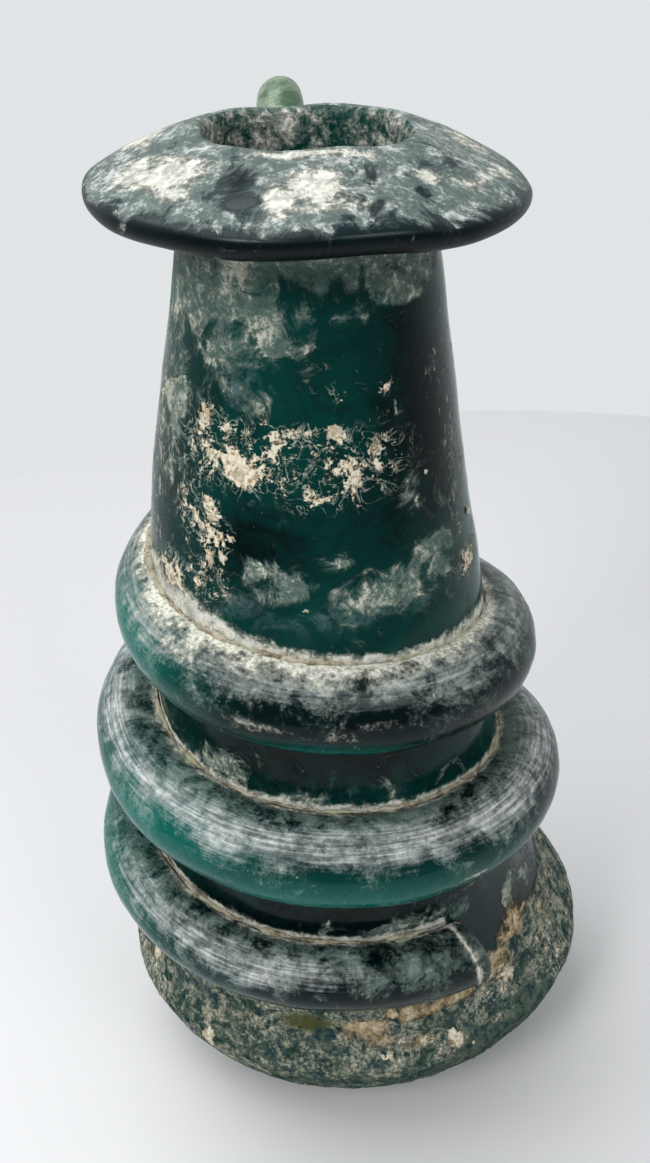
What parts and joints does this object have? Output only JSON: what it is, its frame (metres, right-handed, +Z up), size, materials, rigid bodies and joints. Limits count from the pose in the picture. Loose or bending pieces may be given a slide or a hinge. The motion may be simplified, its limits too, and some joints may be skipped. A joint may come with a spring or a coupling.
{
  "type": "glass bottle",
  "caption": "Free-blown ancient glass bottle with a mushroom rim, a thick glass rod wound round its waist and a thin rod handle.",
  "frame": {"origin": "middle of the flat underside of the foot", "axes": "+Z up through the mouth, -Y the front that shows the cut end of the trail, +Y the side of the handle, +X to the right"},
  "size_m": [0.0626, 0.0626, 0.1229],
  "materials": {
    "blown_glass": "weathered deep teal glass with pale crust",
    "trail_glass": "glossy deep teal glass with pale patina",
    "handle_glass": "pale olive green glass"
  },
  "bodies": {
    "root": {"vessel": "blown_glass", "spiral_trail": "trail_glass", "handle": "handle_glass"}
  },
  "joints": []
}
